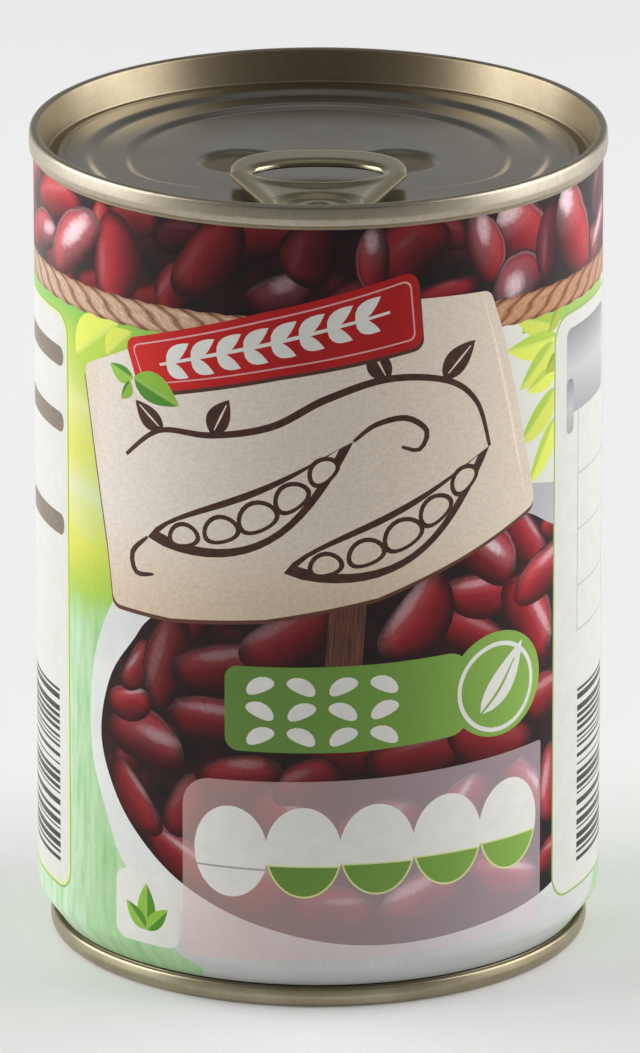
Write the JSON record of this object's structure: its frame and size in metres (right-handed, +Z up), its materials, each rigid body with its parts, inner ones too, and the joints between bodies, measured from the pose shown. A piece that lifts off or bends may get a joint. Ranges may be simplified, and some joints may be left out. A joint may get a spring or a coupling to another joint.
{
  "type": "shut steel food can of beans with a ring-pull end",
  "caption": "Shut round steel food can of beans with a printed wall, seamed ends, a ring-pull top and a necked-in base that stacks.",
  "frame": {"origin": "on the can's axis, in the plane of the bottom seam's foot that it stands on", "axes": "+Z up along the can's axis, the front of the print and the nose of the pull tab towards -Y, the tab's finger ring towards +Y, +X to the right of the front"},
  "size_m": [0.0752, 0.0752, 0.109],
  "materials": {
    "printed_wall": "litho-printed tinplate under clear varnish, satin gloss",
    "lacquered_end": "tinplate with pale gold lacquer on the seam and a grey panel, satin",
    "lacquered_tab": "tinplate with pale gold lacquer, satin",
    "lacquered_base": "tinplate with pale gold lacquer, satin"
  },
  "bodies": {
    "root": {"can_body": "printed_wall", "top_end": "lacquered_end", "pull_tab": "lacquered_tab", "bottom_end": "lacquered_base"}
  },
  "joints": []
}
